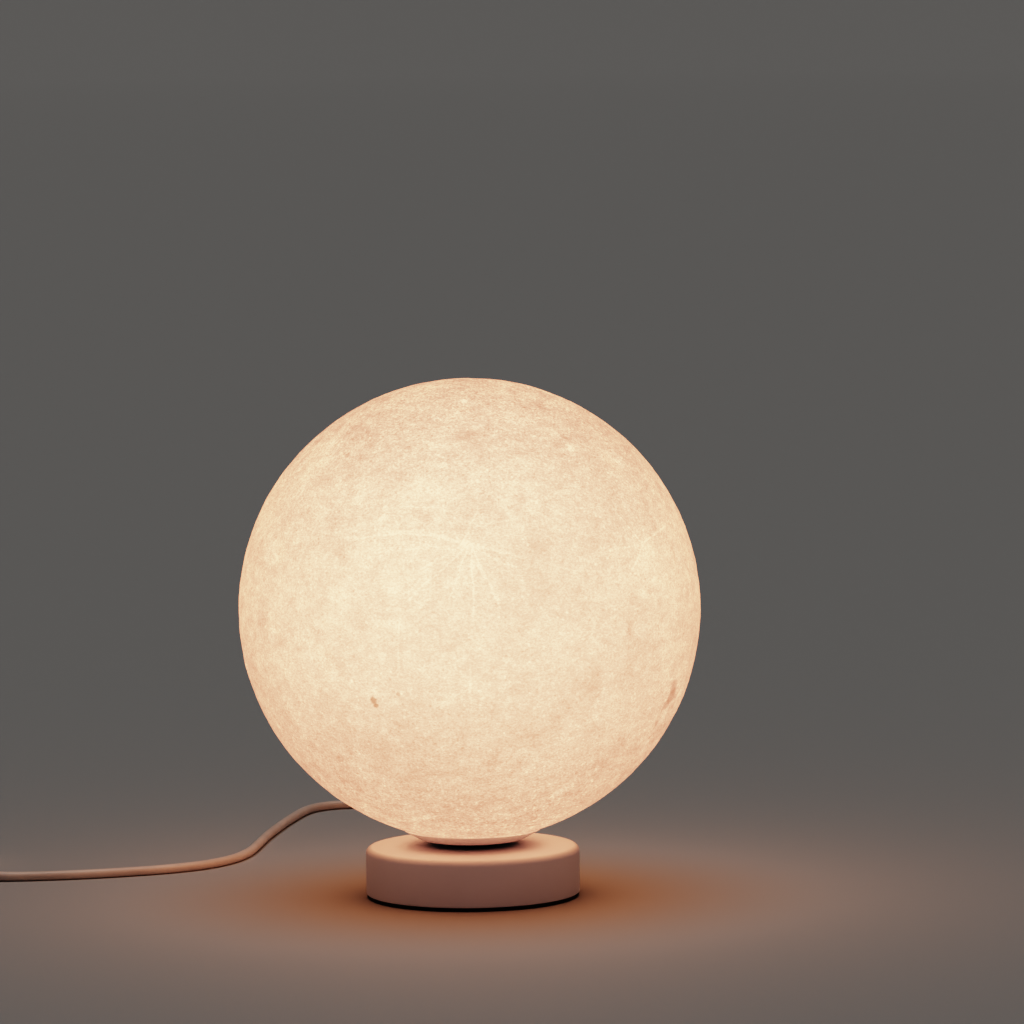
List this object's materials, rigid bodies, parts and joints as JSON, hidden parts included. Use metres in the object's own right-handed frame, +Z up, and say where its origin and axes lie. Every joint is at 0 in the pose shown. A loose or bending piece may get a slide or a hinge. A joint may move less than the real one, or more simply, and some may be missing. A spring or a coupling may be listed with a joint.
{
  "type": "moon lamp",
  "caption": "Round table lamp: cratered moon shade that lifts off a weighted disc base, screw-in bulb and holder inside, round lead with inline rocker switch and two-pin plug.",
  "frame": {"origin": "centre of the foot pad's underside, on the surface the lamp stands on", "axes": "+Z up; -Y towards the viewer of the front; the lead leaves the base towards +Y"},
  "size_m": [0.526, 0.4726, 0.2817],
  "materials": {
    "moon_shell": "matt, printed relief, lit warm from inside",
    "white_paint": "fine matt powder coat",
    "black_plastic": "satin",
    "black_foam": "matt foam",
    "zinc_steel": "zinc plated",
    "cast_iron": "rough cast",
    "brass": "satin",
    "nickel": "nickel plated",
    "white_nylon": "fine spark texture",
    "white_cord": "satin PVC",
    "brown_wire": "satin PVC",
    "blue_wire": "satin PVC",
    "white_ceramic": "unglazed",
    "black_glass": "glossy",
    "white_board": "solder mask",
    "opal_plastic": "opal, lit"
  },
  "bodies": {
    "base": {"foot_pad": "black_foam", "base_plate": "black_plastic", "base_plate_screws": "zinc_steel", "base_housing": "white_paint", "ballast_ring": "cast_iron", "threaded_pipe": "zinc_steel", "pipe_nut": "brass", "pipe_washer": "zinc_steel", "seat_collar": "black_plastic", "holder_cap": "black_plastic", "holder_skirt": "black_plastic", "holder_insert": "white_ceramic", "holder_screw_shell": "brass", "holder_contact": "brass", "terminal_block": "white_nylon", "terminal_screws": "brass", "live_lead": "brown_wire", "neutral_lead": "blue_wire", "supply_cores": "brown_wire", "inner_flex": "white_cord", "cord_clamp": "white_nylon", "cord_clamp_screws": "zinc_steel", "cord_bush": "white_cord", "flex_to_switch": "white_cord", "switch_lower_case": "white_nylon", "switch_upper_case": "white_nylon", "switch_contacts": "brass", "switch_screws": "zinc_steel", "flex_to_coil": "white_cord", "flex_coil": "white_cord", "coil_tie": "black_plastic", "flex_to_plug": "white_cord", "plug_body": "white_cord", "plug_pins": "nickel"},
    "globe": {"moon_globe": "moon_shell", "globe_cup": "white_paint", "globe_clamp_ring": "black_plastic", "clamp_ring_screws": "zinc_steel"},
    "bulb_cap_body": {"bulb_cap": "nickel", "bulb_cap_glass": "black_glass", "bulb_tip_contact": "nickel"},
    "bulb_envelope_body": {"bulb_housing": "white_nylon", "bulb_led_board": "white_board", "bulb_dome": "opal_plastic"},
    "rocker_body": {"switch_rocker": "white_nylon"}
  },
  "joints": [
    {"name": "globe_lift", "type": "slide", "parent": "base", "child": "globe", "axis": [0, 0, 1], "range_m": [0, 0.14]},
    {"name": "bulb_rise", "type": "slide", "parent": "base", "child": "bulb_cap_body", "axis": [0, 0, 1], "range_m": [0, 0.01975]},
    {"name": "bulb_turn", "type": "hinge", "parent": "bulb_cap_body", "child": "bulb_envelope_body", "pos_m": [0, 0, 0.083], "axis": [0, 0, 1], "range_deg": [0, 2520]},
    {"name": "switch_rocker", "type": "hinge", "parent": "base", "child": "rocker_body", "pos_m": [-0.29, 0.143, 0.014], "axis": [1, 0, 0], "range_deg": [0, 16]}
  ],
  "couplings": [
    {"joint": "bulb_rise", "follows": "bulb_turn", "m_per_rad": 0.00044882}
  ]
}
